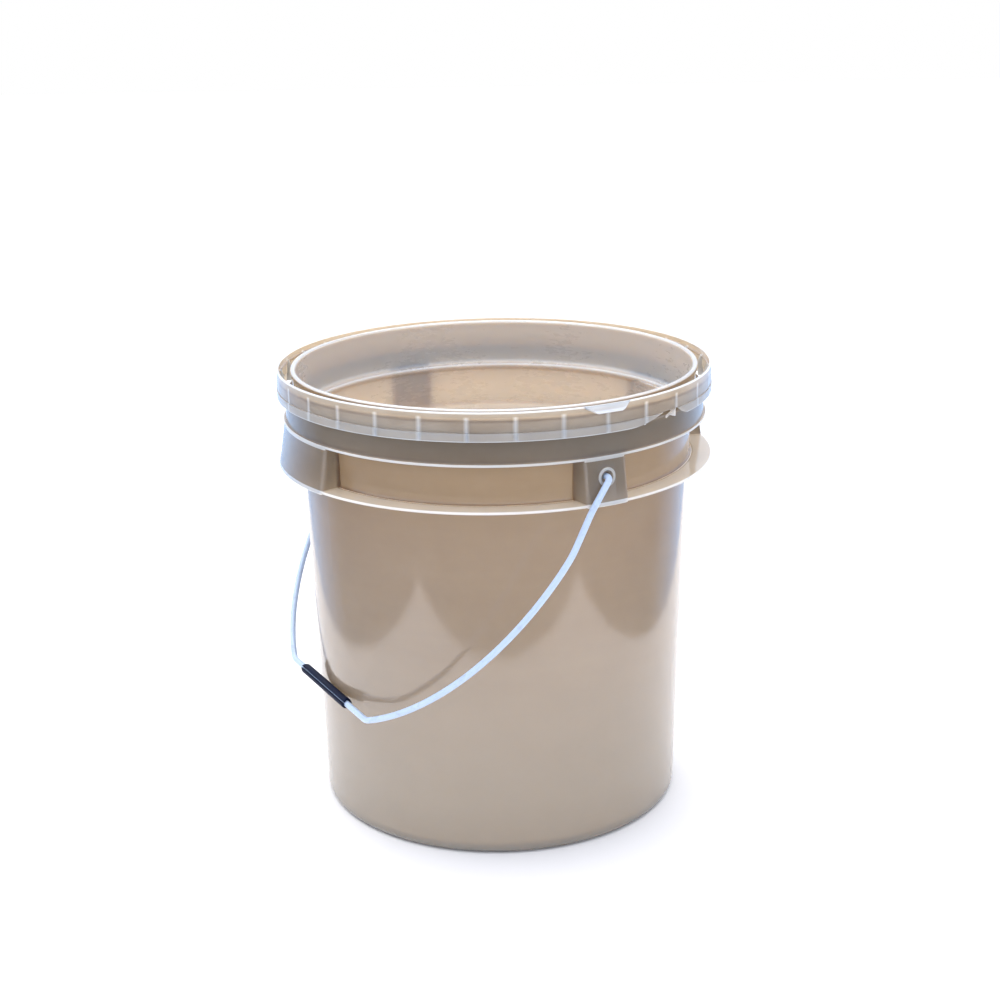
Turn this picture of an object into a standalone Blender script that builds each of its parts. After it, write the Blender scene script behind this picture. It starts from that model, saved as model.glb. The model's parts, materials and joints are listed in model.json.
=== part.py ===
"""Plastic fermenting bucket: a moulded pail with a tear-off collar, and a coated wire bail with a grip.

Frame: origin on the bucket's axis at the plane it stands on, +Z up. The bail turns about a line
along X through the two ears. At rest it hangs against the wall on the -Y side.
"""

import math

import bmesh
import bpy
from mathutils import Vector

MM = 0.001
FULL_TURN = 2 * math.pi

# Tub
SEGMENTS = 60
WALL = 2.6 * MM
BASE_THICKNESS = 3.0 * MM
STANDING_RADIUS = 134.2 * MM
STANDING_WIDTH = 5.5 * MM
FOOT_HEIGHT = 8.5 * MM
FOOT_RADIUS = 140.4 * MM
BASE_CLEARANCE = 2.5 * MM
FLOOR_TOP = BASE_CLEARANCE + BASE_THICKNESS
BODY_TOP_RADIUS = 147.6 * MM
BODY_TOP_HEIGHT = 268.0 * MM
RECESS_RADIUS = 149.2 * MM
RECESS_BOTTOM = 276.5 * MM
WALL_TOP = 305.1 * MM

# Flanges
FLANGE_THICKNESS = 2.0 * MM
LOWER_FLANGE_RADIUS = 166.3 * MM
LOWER_FLANGE_TOP = 275.0 * MM
HOOP_WIDTH = 2.3 * MM
UPPER_FLANGE_RADIUS = 161.6 * MM
UPPER_FLANGE_BOTTOM = 305.4 * MM

# Neck
SKIRT_RADIUS = 159.4 * MM
SKIRT_TOP = 326.0 * MM
LIP_RADIUS = 152.6 * MM
LIP_BEAD = 2.3 * MM
LIP_TOP = 344.5 * MM
OUTER_WALL = LIP_RADIUS + 1.0 * MM
NECK_RADIUS = 150.2 * MM
SHOULDER_RADIUS = 145.2 * MM
SHOULDER_HEIGHT = 308.8 * MM

# Housings moulded between the flanges: bail ears on X, wide lifting lugs on Y
HOUSING_BOTTOM = 272.4 * MM
HOUSING_TOP = 305.1 * MM
HOUSING_BOTTOM_RADIUS = 166.6 * MM
HOUSING_TOP_RADIUS = 161.4 * MM
HOUSING_WALL = 2.0 * MM
EAR_HALF_ANGLE = math.radians(5.8)
EAR_SPLAY = math.radians(1.6)
LUG_HALF_ANGLE = math.radians(15.7)
LUG_TURN = math.radians(-2.2)

# Tear-off collar
COLLAR_RADIUS = 165.0 * MM
COLLAR_WALL = 1.7 * MM
COLLAR_BOTTOM = 330.8 * MM
COLLAR_TOP = 345.3 * MM
RIB_COUNT = 31
RIB_INNER_RADIUS = 160.0 * MM
RIB_THICKNESS = 1.0 * MM
RIB_TOP = 341.5 * MM
STRIP_RADIUS = 165.5 * MM
STRIP_WALL = 1.5 * MM
STRIP_BOTTOM = 324.6 * MM
STRIP_GAP_START = math.radians(17.5)
STRIP_GAP_END = math.radians(24.0)
STRIP_TAPER = math.radians(10.0)
TAB_HALF_ROOT = math.radians(6.5)
TAB_HALF_TIP = math.radians(3.6)
TAB_TIP_RADIUS = 170.0 * MM
TAB_DROP = 4.3 * MM
TAB_THICKNESS = 2.2 * MM

# Bail
PIVOT_HEIGHT = 293.0 * MM
EAR_HOLE_RADIUS = 2.8 * MM
BOSS_RADIUS = 6.7 * MM
BOSS_FACE = 164.4 * MM
DISH_RADIUS = 4.9 * MM
DISH_DEPTH = 0.8 * MM
REST_ANGLE = math.radians(38.3)
WIRE_RADIUS = 1.5 * MM
COATING_RADIUS = 2.35 * MM
COATING_BORE = 1.85 * MM
HOOK_REACH = 155.6 * MM
HOOK_LENGTH = 9.0 * MM
HOOK_BEND = 3.0 * MM
COATING_START = 158.6 * MM
SHANK_REACH = 167.6 * MM
SHANK_BEND = 4.0 * MM
KNEE_REACH = 170.6 * MM
KNEE_DEPTH = 27.0 * MM
KNEE_BEND = 60.0 * MM
SHOULDER_REACH = 178.9 * MM
SHOULDER_DEPTH = 60.0 * MM
SHOULDER_BEND = 60.0 * MM
ARC_RADIUS = 194.0 * MM
ARC_OFFSET = -15.0 * MM
ARC_DEPTH = 63.5 * MM
ARC_STEPS = 14
GRIP_DEPTH = 238.5 * MM
GRIP_BEND = 16.0 * MM

# Grip
GRIP_RADIUS = 4.0 * MM
GRIP_BORE = 2.65 * MM
GRIP_HALF_LENGTH = 41.0 * MM
GRIP_CHAMFER = 0.8 * MM
GRIP_OFFSET = -6.0 * MM

GAP = 0.3 * MM


def clear_scene():
    for item in list(bpy.context.scene.objects):
        bpy.data.objects.remove(item)


def plastic(name, colour, roughness, metallic=0.0):
    material = bpy.data.materials.new(name)
    material.use_nodes = True
    shader = material.node_tree.nodes["Principled BSDF"]
    shader.inputs["Base Color"].default_value = (*colour, 1.0)
    shader.inputs["Roughness"].default_value = roughness
    shader.inputs["Metallic"].default_value = metallic
    material.diffuse_color = (*colour, 1.0)
    return material


def add_object(name, points, faces, material=None):
    mesh = bpy.data.meshes.new(name)
    mesh.from_pydata([Vector(point) for point in points], [], faces)
    shape = bmesh.new()
    shape.from_mesh(mesh)
    bmesh.ops.recalc_face_normals(shape, faces=shape.faces)
    shape.to_mesh(mesh)
    shape.free()
    mesh.shade_smooth()
    mesh.set_sharp_from_angle(angle=math.radians(35))
    obj = bpy.data.objects.new(name, mesh)
    bpy.context.scene.collection.objects.link(obj)
    if material:
        mesh.materials.append(material)
    return obj


def polar(radius, angle, height):
    return (radius * math.cos(angle), radius * math.sin(angle), height)


def between(first, last, steps):
    return [first + (last - first) * k / steps for k in range(steps + 1)]


def loft(loops, closed):
    """Points and faces of a skin over loops of equal length. An open loft gets end caps."""
    count = len(loops[0])
    points = [point for loop in loops for point in loop]
    faces = []
    spans = len(loops) if closed else len(loops) - 1
    for k in range(spans):
        here = k * count
        after = (k + 1) % len(loops) * count
        for j in range(count):
            ahead = (j + 1) % count
            faces.append((here + j, here + ahead, after + ahead, after + j))
    if not closed:
        faces.append(tuple(range(count)))
        faces.append(tuple(range(len(points) - 1, len(points) - 1 - count, -1)))
    return points, faces


def turned_ring(name, outline, material, segments=SEGMENTS):
    """A closed (radius, height) outline turned once about Z."""
    angles = [FULL_TURN * k / segments for k in range(segments)]
    loops = [[polar(r, angle, z) for r, z in outline] for angle in angles]
    return add_object(name, *loft(loops, closed=True), material)


def turned_part(name, outline_at, first, last, steps, material=None):
    """An outline that may change with the angle, turned from one angle to another."""
    loops = [[polar(r, angle, z) for r, z in outline_at(angle)] for angle in between(first, last, steps)]
    return add_object(name, *loft(loops, closed=False), material)


def turned_cup(name, outline, material):
    """An outline that starts and ends on the axis, turned once about Z."""
    angles = [FULL_TURN * k / SEGMENTS for k in range(SEGMENTS)]
    rim = outline[1:-1]
    points = [polar(r, angle, z) for angle in angles for r, z in rim]
    low = len(points)
    points += [(0, 0, outline[0][1]), (0, 0, outline[-1][1])]
    count = len(rim)
    faces = []
    for k in range(SEGMENTS):
        here = k * count
        after = (k + 1) % SEGMENTS * count
        faces += [(here + j, here + j + 1, after + j + 1, after + j) for j in range(count - 1)]
        faces.append((low, here, after))
        faces.append((low + 1, after + count - 1, here + count - 1))
    return add_object(name, points, faces, material)


def arc_points(centre, radius, first, last, steps):
    """Points on an arc in a plane, angles in degrees."""
    angles = [math.radians(angle) for angle in between(first, last, steps)]
    return [(centre[0] + radius * math.cos(a), centre[1] + radius * math.sin(a)) for a in angles]


def boolean(target, tool, operation):
    modifier = target.modifiers.new(tool.name, "BOOLEAN")
    modifier.operation = operation
    modifier.solver = "EXACT"
    modifier.object = tool
    tool.hide_render = True
    tool.display_type = "WIRE"


def sector_cutter(name, centre, half_angle, radii, heights, steps=7):
    outline = [
        (radii[0], heights[0]),
        (radii[1], heights[0]),
        (radii[1], heights[1]),
        (radii[0], heights[1]),
    ]
    return turned_part(name, lambda angle: outline, centre - half_angle, centre + half_angle, steps)


def x_cylinder(name, radius, first, last, side, steps=24):
    """A cylinder along X on the bail's axis, on the +X side or, with side -1, on the -X side."""
    loops = []
    for x in (first, last):
        ring = [FULL_TURN * k / steps for k in range(steps)]
        loops.append([(side * x, radius * math.cos(a), PIVOT_HEIGHT + radius * math.sin(a)) for a in ring])
    return add_object(name, *loft(loops, closed=False))


def foot_arc(first, last, steps):
    """The rounded foot, from one height to another, as a quarter of an ellipse."""
    rise = FOOT_RADIUS - STANDING_RADIUS
    start, end = (math.acos(1 - height / FOOT_HEIGHT) for height in (first, last))
    angles = between(start, end, steps)
    return [(STANDING_RADIUS + rise * math.sin(a), FOOT_HEIGHT * (1 - math.cos(a))) for a in angles]


def build_floor(material):
    """The flat floor, held clear of the ground by the foot ring round it."""
    edge = STANDING_RADIUS - STANDING_WIDTH - BASE_CLEARANCE - GAP
    outline = [(0, BASE_CLEARANCE), (edge, BASE_CLEARANCE), (edge, FLOOR_TOP), (0, FLOOR_TOP)]
    return turned_cup("bucket_floor", outline, material)


def build_foot(material):
    """The rounded ring the bucket stands on."""
    ring_inside = STANDING_RADIUS - STANDING_WIDTH
    outline = [
        (ring_inside - BASE_CLEARANCE, BASE_CLEARANCE),
        (ring_inside, 0),
        *foot_arc(0, FLOOR_TOP, 3),
        (ring_inside - BASE_CLEARANCE, FLOOR_TOP),
    ]
    return turned_ring("foot_ring", outline, material)


def build_wall(material):
    """The tapered wall, which turns out a little at its top."""
    start = FLOOR_TOP + GAP
    outline = [
        *foot_arc(start, FOOT_HEIGHT, 2),
        (BODY_TOP_RADIUS, BODY_TOP_HEIGHT),
        (RECESS_RADIUS, RECESS_BOTTOM),
        (RECESS_RADIUS - WALL, RECESS_BOTTOM),
        (BODY_TOP_RADIUS - WALL, BODY_TOP_HEIGHT),
        (FOOT_RADIUS - WALL, start),
    ]
    return turned_ring("bucket_wall", outline, material)


def build_recess(material):
    """The straight wall between the two flanges, behind the housings."""
    outline = [
        (RECESS_RADIUS - WALL, RECESS_BOTTOM + GAP),
        (RECESS_RADIUS, RECESS_BOTTOM + GAP),
        (RECESS_RADIUS, WALL_TOP),
        (RECESS_RADIUS - WALL, WALL_TOP),
    ]
    return turned_ring("recess_wall", outline, material)


def build_neck(material):
    """The neck's inner wall, from the shoulder inside the tub up to the lip."""
    wall = NECK_RADIUS - LIP_RADIUS + LIP_BEAD
    bead = arc_points((LIP_RADIUS, LIP_TOP - LIP_BEAD), LIP_BEAD, -60, 210, 9)
    outline = [
        (RECESS_RADIUS + 0.4 * MM, UPPER_FLANGE_BOTTOM),
        (RECESS_RADIUS + 0.8 * MM, UPPER_FLANGE_BOTTOM + 4 * MM),
        (OUTER_WALL - 1.2 * MM, SHOULDER_HEIGHT + 10 * MM),
        (OUTER_WALL, SKIRT_TOP - 2 * MM),
        *bead,
        (NECK_RADIUS, SHOULDER_HEIGHT + 12 * MM),
        (NECK_RADIUS - 0.9 * MM, SHOULDER_HEIGHT + 6 * MM),
        (NECK_RADIUS - 2.8 * MM, SHOULDER_HEIGHT + 2 * MM),
        (SHOULDER_RADIUS + 0.7 * MM, SHOULDER_HEIGHT + 0.4 * MM),
        (SHOULDER_RADIUS, SHOULDER_HEIGHT - 0.4 * MM),
        (SHOULDER_RADIUS + wall, UPPER_FLANGE_BOTTOM),
    ]
    return turned_ring("neck_rim", outline, material)


def build_skirt(material):
    """The outer wall of the neck: a deck at its top, then the skirt down to the upper flange."""
    deck_bottom = SKIRT_TOP - 2.4 * MM
    flange_top = UPPER_FLANGE_BOTTOM + FLANGE_THICKNESS
    outline = [
        (OUTER_WALL + GAP, deck_bottom),
        (SKIRT_RADIUS - 2.1 * MM, deck_bottom),
        (SKIRT_RADIUS - 1.9 * MM, UPPER_FLANGE_BOTTOM),
        (UPPER_FLANGE_RADIUS, UPPER_FLANGE_BOTTOM),
        (UPPER_FLANGE_RADIUS, flange_top),
        (SKIRT_RADIUS, flange_top + 0.4 * MM),
        (SKIRT_RADIUS, SKIRT_TOP - 1 * MM),
        (SKIRT_RADIUS - 0.8 * MM, SKIRT_TOP),
        (OUTER_WALL + GAP, SKIRT_TOP),
    ]
    return turned_ring("neck_skirt", outline, material)


def notch_cutter(name, centre, half_angle, splay, radii, heights, steps=7):
    """A block that follows a housing's side walls, which spread by the splay towards the tub."""
    loops = []
    for height in heights:
        outside = [polar(radii[1], centre + a, height) for a in between(-half_angle, half_angle, steps)]
        root = half_angle + splay
        inside = [polar(radii[0], centre + a, height) for a in between(root, -root, steps)]
        loops.append([*outside, *inside])
    return add_object(name, *loft(loops, closed=False))


def build_lower_flange(housings, material):
    """The flange, with a notch for each housing. A narrow hoop behind the notches keeps it in one piece."""
    inside = RECESS_RADIUS + GAP
    bottom = LOWER_FLANGE_TOP - FLANGE_THICKNESS
    outline = [
        (inside, bottom),
        (LOWER_FLANGE_RADIUS - 0.4 * MM, bottom),
        (LOWER_FLANGE_RADIUS, bottom + 0.6 * MM),
        (LOWER_FLANGE_RADIUS, LOWER_FLANGE_TOP - 0.6 * MM),
        (LOWER_FLANGE_RADIUS - 0.4 * MM, LOWER_FLANGE_TOP),
        (inside, LOWER_FLANGE_TOP),
    ]
    flange = turned_ring("lower_flange", outline, material)
    radii = (inside + HOOP_WIDTH, LOWER_FLANGE_RADIUS + 3 * MM)
    heights = (bottom - 1 * MM, LOWER_FLANGE_TOP + 1 * MM)
    for name, centre, half_angle, splay in housings:
        half_notch = half_angle + GAP / radii[0]
        cutter = notch_cutter(f"{name}_notch", centre, half_notch, splay, radii, heights)
        boolean(flange, cutter, "DIFFERENCE")
    return flange


def build_housing(name, centre, half_angle, splay, steps, material):
    """A U-shaped box: a front wall that leans out towards its foot, and two side walls to the tub."""
    root = RECESS_RADIUS + GAP

    def loop(height, front):
        inner_half = half_angle - HOUSING_WALL / front
        back = front - HOUSING_WALL
        outside = [polar(front, centre + a, height) for a in between(-half_angle, half_angle, steps)]
        inside = [polar(back, centre + a, height) for a in between(inner_half, -inner_half, steps)]
        feet = (half_angle + splay, inner_half + splay, -inner_half - splay, -half_angle - splay)
        ends = [polar(root, centre + a, height) for a in feet]
        return [*outside, *ends[:2], *inside, *ends[2:]]

    loops = [loop(HOUSING_BOTTOM, HOUSING_BOTTOM_RADIUS), loop(HOUSING_TOP, HOUSING_TOP_RADIUS)]
    housing = add_object(name, *loft(loops, closed=False), material)
    hoop = (root - 2 * MM, root + HOOP_WIDTH + GAP)
    heights = (HOUSING_BOTTOM - 2 * MM, LOWER_FLANGE_TOP + GAP)
    step = sector_cutter(f"{name}_step", centre, 1.5 * half_angle, hoop, heights, steps=11)
    boolean(housing, step, "DIFFERENCE")
    return housing


def add_bail_boss(ear, side):
    """The raised ring round the bail's hole, dished inside it."""
    inner_face = HOUSING_TOP_RADIUS - HOUSING_WALL
    boolean(ear, x_cylinder(f"{ear.name}_boss", BOSS_RADIUS, inner_face, BOSS_FACE, side), "UNION")
    dish = x_cylinder(f"{ear.name}_dish", DISH_RADIUS, BOSS_FACE - DISH_DEPTH, BOSS_FACE + 5 * MM, side)
    boolean(ear, dish, "DIFFERENCE")
    hole = x_cylinder(f"{ear.name}_hole", EAR_HOLE_RADIUS, inner_face - 5 * MM, BOSS_FACE + 5 * MM, side)
    boolean(ear, hole, "DIFFERENCE")


def build_collar(material):
    inside = COLLAR_RADIUS - COLLAR_WALL
    outline = [
        (inside, COLLAR_BOTTOM),
        (COLLAR_RADIUS, COLLAR_BOTTOM),
        (COLLAR_RADIUS, COLLAR_TOP - 0.6 * MM),
        (COLLAR_RADIUS - 0.5 * MM, COLLAR_TOP),
        (inside + 0.4 * MM, COLLAR_TOP),
        (inside - 0.2 * MM, COLLAR_TOP - 0.6 * MM),
        (inside - 0.2 * MM, COLLAR_TOP - 4.5 * MM),
        (inside - 0.9 * MM, COLLAR_TOP - 5.1 * MM),
        (inside - 0.9 * MM, COLLAR_TOP - 6.3 * MM),
        (inside, COLLAR_TOP - 7.0 * MM),
    ]
    collar = turned_ring("tear_collar", outline, material)
    half = RIB_THICKNESS / 2 / RIB_INNER_RADIUS
    radii = (RIB_INNER_RADIUS, inside + 0.6 * MM)
    heights = (COLLAR_BOTTOM + 0.2 * MM, RIB_TOP)
    ribs = bmesh.new()
    for k in range(RIB_COUNT):
        rib = sector_cutter(f"rib_{k}", FULL_TURN * k / RIB_COUNT, half, radii, heights, steps=1)
        ribs.from_mesh(rib.data)
        bpy.data.objects.remove(rib)
    mesh = bpy.data.meshes.new("collar_ribs")
    ribs.to_mesh(mesh)
    ribs.free()
    tool = bpy.data.objects.new("collar_ribs", mesh)
    bpy.context.scene.collection.objects.link(tool)
    boolean(collar, tool, "UNION")
    return collar


def build_strip(material):
    """The thin strip under the collar. It starts with a gap and a tapered end, where tearing begins."""
    first = STRIP_GAP_END
    last = STRIP_GAP_START + FULL_TURN
    top = COLLAR_BOTTOM - GAP

    def outline(angle):
        left = min(1.0, (last - angle) / STRIP_TAPER + 0.12, (angle - first) / STRIP_TAPER + 0.25)
        bottom = top - (top - STRIP_BOTTOM) * left
        inside = STRIP_RADIUS - STRIP_WALL
        return [(inside, bottom), (STRIP_RADIUS, bottom), (STRIP_RADIUS, top), (inside, top)]

    return turned_part("tear_strip", outline, first, last, SEGMENTS + 10, material)


def build_tab(material):
    """The pull tab: a trapezoid that slopes out and down from the collar's top edge."""
    root = COLLAR_RADIUS + GAP
    sections = []
    for radius, half, top in (
        (root, TAB_HALF_ROOT, COLLAR_TOP + 0.2 * MM),
        (TAB_TIP_RADIUS, TAB_HALF_TIP, COLLAR_TOP - TAB_DROP + TAB_THICKNESS / 2),
    ):
        angles = between(-half, half, 6)
        upper = [polar(radius, angle, top) for angle in angles]
        lower = [polar(radius, angle, top - TAB_THICKNESS) for angle in reversed(angles)]
        sections.append([*upper, *lower])
    return add_object("pull_tab", *loft(sections, closed=False), material)


def fillet(before, corner, after, radius, steps):
    """Points of the arc that rounds a corner of a plane route."""
    before, corner, after = Vector(before), Vector(corner), Vector(after)
    to_before = (before - corner).normalized()
    to_after = (after - corner).normalized()
    half = to_before.angle(to_after) / 2
    middle = corner + (to_before + to_after).normalized() * radius / math.sin(half)
    start = corner + to_before * radius / math.tan(half) - middle
    end = corner + to_after * radius / math.tan(half) - middle
    points = []
    for share in between(0, 1, steps):
        points.append(tuple(middle + (start.lerp(end, share)).normalized() * radius))
    return points


def bail_route(first_corner):
    """One half of the bail in its own plane, as (distance from the middle, depth below the axis)."""
    chord_drop = GRIP_DEPTH - ARC_DEPTH
    bend_x = ARC_OFFSET + math.sqrt(ARC_RADIUS**2 - chord_drop**2)
    first = math.degrees(math.asin((SHOULDER_DEPTH + 14 * MM - ARC_DEPTH) / ARC_RADIUS))
    last = math.degrees(math.asin((chord_drop - 4 * MM) / ARC_RADIUS))
    arc = arc_points((ARC_OFFSET, ARC_DEPTH), ARC_RADIUS, first, last, ARC_STEPS)
    shank = (SHANK_REACH, 0)
    knee = (KNEE_REACH, KNEE_DEPTH)
    shoulder = (SHOULDER_REACH, SHOULDER_DEPTH)
    route = list(first_corner)
    route += fillet((HOOK_REACH, 0), shank, knee, SHANK_BEND, 5)
    route += fillet(shank, knee, shoulder, KNEE_BEND, 2)
    route += fillet(knee, shoulder, arc[0], SHOULDER_BEND, 2)
    route += arc
    route += fillet(arc[-1], (bend_x, GRIP_DEPTH), (0, GRIP_DEPTH), GRIP_BEND, 3)
    return route


def whole_route(half):
    """Both halves of the bail, from the hook at +X to the hook at -X."""
    right = [(x, 0, -depth) for x, depth in half]
    left = [(-x, 0, -depth) for x, depth in reversed(half)]
    return [Vector(point) for point in (*right, *left)]


def wire_loops(route, radius, sides):
    """Rings of a round section along a route that lies in the XZ plane."""
    loops = []
    across = Vector((0, 1, 0))
    for k, point in enumerate(route):
        along = (route[min(k + 1, len(route) - 1)] - route[max(k - 1, 0)]).normalized()
        up = along.cross(across)
        ring = [FULL_TURN * j / sides for j in range(sides)]
        loops.append([point + radius * (math.cos(a) * across + math.sin(a) * up) for a in ring])
    return loops


def tube(name, outer, inner, material):
    """A tube from its outer and inner rings, open at both ends."""
    loops = [*outer, *reversed(inner)]
    return add_object(name, *loft(loops, closed=True), material)


def build_bail(steel, coating):
    hook = [(HOOK_REACH, -HOOK_LENGTH)]
    hook += fillet((HOOK_REACH, -HOOK_LENGTH), (HOOK_REACH, 0), (SHANK_REACH, 0), HOOK_BEND, 4)
    core = wire_loops(whole_route(bail_route(hook)), WIRE_RADIUS, 8)
    wire = add_object("bail_wire", *loft(core, closed=False), steel)
    route = whole_route(bail_route([(COATING_START, 0)]))
    skin = wire_loops(route, COATING_RADIUS, 10)
    bore = wire_loops(route, COATING_BORE, 10)
    return wire, tube("bail_coating", skin, bore, coating)


def build_grip(material):
    """A plain sleeve round the bail's straight middle, with chamfered ends."""
    end = GRIP_HALF_LENGTH
    rings = [
        (-end, GRIP_RADIUS - GRIP_CHAMFER),
        (-end + GRIP_CHAMFER, GRIP_RADIUS),
        (end - GRIP_CHAMFER, GRIP_RADIUS),
        (end, GRIP_RADIUS - GRIP_CHAMFER),
        (end, GRIP_BORE),
        (-end, GRIP_BORE),
    ]
    turn = [FULL_TURN * k / 16 for k in range(16)]
    loops = [[(x, radius * math.cos(a), radius * math.sin(a)) for a in turn] for x, radius in rings]
    return add_object("grip_sleeve", *loft(loops, closed=True), material)


def empty(name, location, rotation=(0, 0, 0), parent=None):
    item = bpy.data.objects.new(name, None)
    bpy.context.scene.collection.objects.link(item)
    item.location = location
    item.rotation_euler = rotation
    item.parent = parent
    return item


def main():
    clear_scene()
    moulding = plastic("tan_polypropylene", (0.47, 0.39, 0.31), 0.25)
    collar_plastic = plastic("collar_polypropylene", (0.60, 0.53, 0.45), 0.3)
    coating_plastic = plastic("white_coating", (0.80, 0.84, 0.90), 0.35)
    grip_plastic = plastic("black_grip", (0.02, 0.024, 0.045), 0.5)
    steel = plastic("zinc_steel", (0.62, 0.63, 0.65), 0.35, metallic=1.0)
    housings = [
        ("bail_ear_right", 0.0, EAR_HALF_ANGLE, EAR_SPLAY),
        ("bail_ear_left", math.pi, EAR_HALF_ANGLE, EAR_SPLAY),
        ("lifting_lug_rear", math.pi / 2 + LUG_TURN, LUG_HALF_ANGLE, 0.0),
        ("lifting_lug_front", -math.pi / 2 + LUG_TURN, LUG_HALF_ANGLE, 0.0),
    ]
    build_floor(moulding)
    build_foot(moulding)
    build_wall(moulding)
    build_recess(moulding)
    build_neck(moulding)
    build_skirt(moulding)
    build_lower_flange(housings, moulding)
    for name, centre, half_angle, splay in housings:
        is_ear = half_angle == EAR_HALF_ANGLE
        housing = build_housing(name, centre, half_angle, splay, 5 if is_ear else 9, moulding)
        if is_ear:
            add_bail_boss(housing, round(math.cos(centre)))
    build_collar(collar_plastic)
    build_strip(collar_plastic)
    build_tab(collar_plastic)
    pivot = empty("bail_pivot", (0, 0, PIVOT_HEIGHT), (-REST_ANGLE, 0, 0))
    for piece in build_bail(steel, coating_plastic):
        piece.parent = pivot
    grip_axis = empty("grip_axis", (GRIP_OFFSET, 0, -GRIP_DEPTH), parent=pivot)
    build_grip(grip_plastic).parent = grip_axis


main()
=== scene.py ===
"""The looks of a plastic fermenting bucket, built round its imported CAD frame.

Row frame, metres: the bucket's axis is Z, its foot stands on Z = 0, its bail ears are on X and its
lifting lugs on Y. The bail hangs on the -Y side.
"""

import json
import math

import bmesh
import bpy
from mathutils import Matrix, Vector


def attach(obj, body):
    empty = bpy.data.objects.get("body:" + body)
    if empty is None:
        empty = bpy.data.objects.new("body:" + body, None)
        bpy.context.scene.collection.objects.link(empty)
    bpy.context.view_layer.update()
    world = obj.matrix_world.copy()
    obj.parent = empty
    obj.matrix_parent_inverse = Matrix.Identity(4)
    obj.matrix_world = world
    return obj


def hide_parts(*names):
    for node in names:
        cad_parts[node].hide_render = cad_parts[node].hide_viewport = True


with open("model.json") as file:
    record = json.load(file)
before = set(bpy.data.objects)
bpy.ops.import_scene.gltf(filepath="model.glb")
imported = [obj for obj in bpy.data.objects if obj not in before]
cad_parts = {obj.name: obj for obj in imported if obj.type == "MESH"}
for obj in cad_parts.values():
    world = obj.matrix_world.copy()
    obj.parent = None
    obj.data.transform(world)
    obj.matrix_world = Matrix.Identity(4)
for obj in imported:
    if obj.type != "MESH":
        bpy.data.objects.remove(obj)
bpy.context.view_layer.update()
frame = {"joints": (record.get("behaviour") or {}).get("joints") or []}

MM = 0.001
FULL_TURN = 2 * math.pi
TURN_STEPS = 288

# Wall of the tub, as (radius, height, fillet) in mm from the middle of its underside, up the
# outside, over the lip and down the inside.
FOOT = [(0, 2.5, 0), (125.4, 2.5, 2.5), (128.4, 0, 0.9), (140.15, 0, 7.0)]
LOWER_FLANGE = [(147.75, 273.2, 1.6), (166.2, 273.2, 0.8), (166.2, 275.1, 0.9), (149.3, 275.0, 2.2)]
NECK_CAVITY = [(149.9, 306.0, 3), (152.4, 315.0, 4), (152.6, 323.8, 0.9), (157.5, 323.8, 0.9)]
UPPER_FLANGE = [(157.5, 305.6, 0.5), (161.5, 305.6, 0.8), (161.5, 307.5, 0.8), (159.5, 307.5, 0.9)]
SKIRT = [(159.4, 326.0, 1.1), (153.3, 326.0, 1.0)]
LIP = [(153.2, 340.3, 0.5), (154.8, 341.0, 0.6), (154.8, 344.6, 2.0), (150.8, 344.6, 1.9)]
INNER_WALL = [
    (150.2, 309.3, 4.4),
    (145.2, 308.8, 0.9),
    (145.3, 306.2, 0.8),
    (147.1, 303.5, 2.5),
    (147.0, 276.5, 6),
    (145.1, 268.0, 8),
    (137.6, 5.4, 6.0),
    (0, 5.5, 0),
]

# Housings between the flanges
HOUSING_BOTTOM = 272.6
HOUSING_TOP = 306.6
POCKET_TOP = 304.4
HOUSING_WALL = 2.0
HOUSING_CORNER = 2.6
POCKET_CORNER = 1.2
HOUSING_ROOT = 148.6
POCKET_ROOT = 151.8
FRONT_AT_BOTTOM = 166.55
FRONT_AT_TOP = 161.4
EAR_HALF_ANGLE = math.radians(5.8)
EAR_SPLAY = math.radians(1.6)
LUG_HALF_ANGLE = math.radians(15.7)
LUG_TURN = math.radians(-2.2)

# Boss round the bail's hole, as (radius, distance from the axis)
BOSS_FACE = 164.3
BOSS_RADIUS = 6.7
DISH_RADIUS = 4.9
DISH_DEPTH = 1.3
HOLE_RADIUS = 2.8

# Collar, strip and tab
COLLAR = [
    (163.4, 330.9, 0.3),
    (165.0, 330.9, 0.5),
    (165.0, 345.3, 0.75),
    (163.2, 345.3, 0.6),
    (163.2, 341.0, 0.3),
    (162.3, 340.4, 0.4),
    (162.3, 339.2, 0.4),
    (163.3, 338.4, 0.3),
]
RIB_COUNT = 31
RIB_THICKNESS = 1.15
RIB = [(160.0, 324.9), (164.05, 324.9), (164.05, 330.7), (163.8, 341.2), (161.6, 341.2), (160.0, 336.0)]
STRIP_INSIDE = 164.0
STRIP_OUTSIDE = 165.5
STRIP_BOTTOM = 324.6
STRIP_TOP = 330.85
STRIP_START = math.radians(24.0)
STRIP_END = math.radians(17.5)
START_TAPER = math.radians(5.0)
END_TAPER = math.radians(11.0)
STRIP_THINNEST = 0.06
BRIDGE = (math.radians(19.0), math.radians(22.6))
BRIDGE_START = 1.6
BRIDGE_RISE = 4.0
BRIDGE_THICKNESS = 1.3
TAB_ROOT = 164.7
TAB_TIP = 169.7
TAB_TOP = 345.3
TAB_DROP = 4.2
TAB_THICKNESS = 1.9
TAB_HALF_ROOT = 18.8
TAB_HALF_TIP = 11.0
TAB_CORNER = 1.8
TAB_ROUND_FROM = 0.7

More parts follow.
